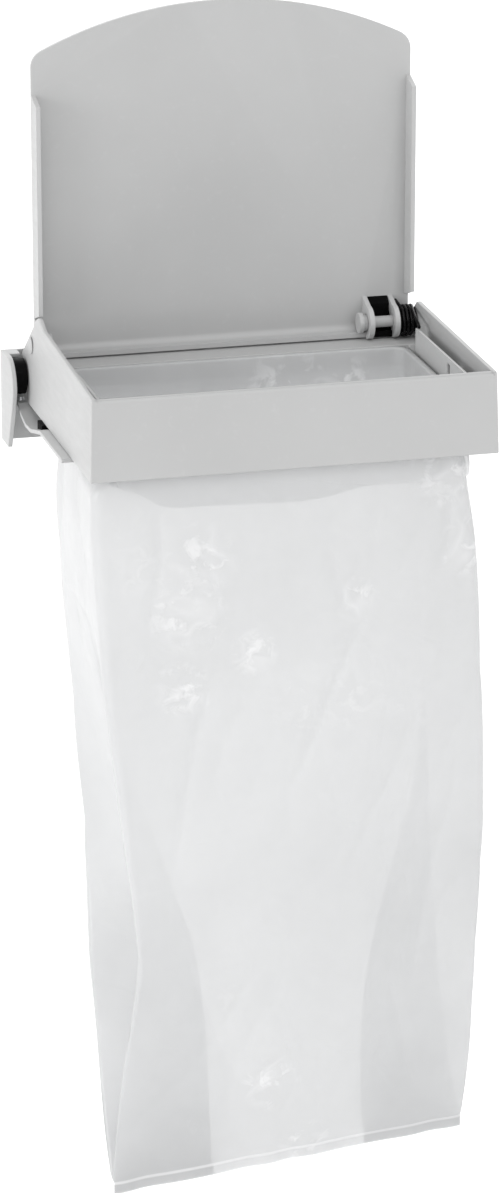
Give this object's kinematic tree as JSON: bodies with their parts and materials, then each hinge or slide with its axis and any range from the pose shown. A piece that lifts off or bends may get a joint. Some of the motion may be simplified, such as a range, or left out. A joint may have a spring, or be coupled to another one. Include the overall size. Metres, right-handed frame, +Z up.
{
  "type": "dog waste bin",
  "caption": "Wall-mounted sack holder for dog waste: a shallow grey frame with a hinged lid over a ring that a translucent liner is turned over, hung from a bracket with cheeks.",
  "frame": {"origin": "centre of the back plate's wall-side face, where the holder meets the wall", "axes": "+X along the wall to the right of someone facing it, +Y into the wall, +Z up"},
  "size_m": [0.33, 0.2487, 0.8672],
  "materials": {
    "grey_plastic": "moulded light-grey plastic with a fine satin surface",
    "bracket_plastic": "moulded light-grey plastic, slightly lighter, satin",
    "black_nylon": "black moulded nylon, semi-gloss",
    "black_rubber": "black rubber",
    "spring_steel": "black-coated spring wire",
    "zinc_steel": "zinc-plated steel",
    "film": "thin translucent white polythene film"
  },
  "bodies": {
    "bracket": {"wall_bracket": "bracket_plastic", "pivot_hub_left": "black_nylon", "pivot_hub_right": "black_nylon", "hub_clip_left": "zinc_steel", "hub_clip_right": "zinc_steel", "bag_ring": "grey_plastic", "arm_left": "bracket_plastic", "arm_right": "bracket_plastic", "arm_rivets": "zinc_steel", "arm_screws": "zinc_steel", "rest_pad_left": "black_rubber", "rest_pad_right": "black_rubber", "bag": "film"},
    "cover": {"cover_frame": "grey_plastic", "hinge_pin_left": "grey_plastic", "hinge_pin_right": "grey_plastic", "retaining_cap_left": "grey_plastic", "retaining_cap_right": "grey_plastic", "torsion_spring": "spring_steel", "spring_collar": "black_nylon"},
    "lid": {"lid": "grey_plastic", "lid_stop_buffer": "black_rubber"}
  },
  "joints": [
    {"name": "cover_lift", "type": "hinge", "parent": "bracket", "child": "cover", "pos_m": [0, -0.025, 0.0205], "axis": [-1, 0, 0], "range_deg": [0, 60]},
    {"name": "lid_hinge", "type": "hinge", "parent": "cover", "child": "lid", "pos_m": [0, -0.045, 0.0492], "axis": [1, 0, 0], "range_deg": [0, 89.5], "deforming": ["torsion_spring"]}
  ]
}
